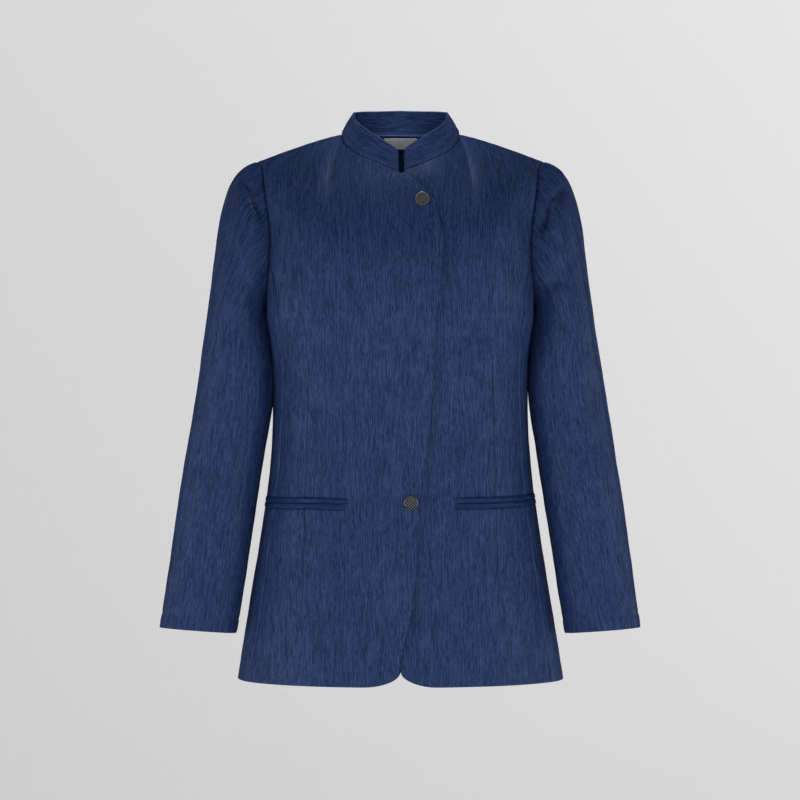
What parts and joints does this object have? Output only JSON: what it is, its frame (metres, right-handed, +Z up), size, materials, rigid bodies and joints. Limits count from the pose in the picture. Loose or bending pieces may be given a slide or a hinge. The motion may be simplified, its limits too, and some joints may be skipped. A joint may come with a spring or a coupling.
{
  "type": "stand-collar jacket",
  "caption": "Hip-length fitted jacket with a stand collar, an overlapping front closed by shank buttons, slim set-in sleeves and double-welt pockets, in heathered blue cloth",
  "frame": {"origin": "middle of the neck opening, level with the points where the shoulder seams meet the collar", "axes": "+Z up along the garment as it is worn, the front faces -Y, +X is the wearer's left"},
  "size_m": [0.6322, 0.2513, 0.7583],
  "materials": {
    "suiting": "fine heathered weave with warp slubs and a soft satin sheen",
    "welt_cloth": "the same cloth folded into welts, its warp along the band",
    "label_cloth": "bare woven satin label",
    "button_metal": "dark antique metal with a basket texture and a raised rim"
  },
  "bodies": {
    "root": {"front_right": "suiting", "front_left": "suiting", "side_right": "suiting", "side_left": "suiting", "back_right": "suiting", "back_left": "suiting", "top_sleeve_right": "suiting", "under_sleeve_right": "suiting", "top_sleeve_left": "suiting", "under_sleeve_left": "suiting", "collar": "suiting", "welt_upper_right": "welt_cloth", "welt_lower_right": "welt_cloth", "welt_upper_left": "welt_cloth", "welt_lower_left": "welt_cloth", "neck_label": "label_cloth", "button_top": "button_metal", "button_lower": "button_metal"}
  },
  "joints": []
}
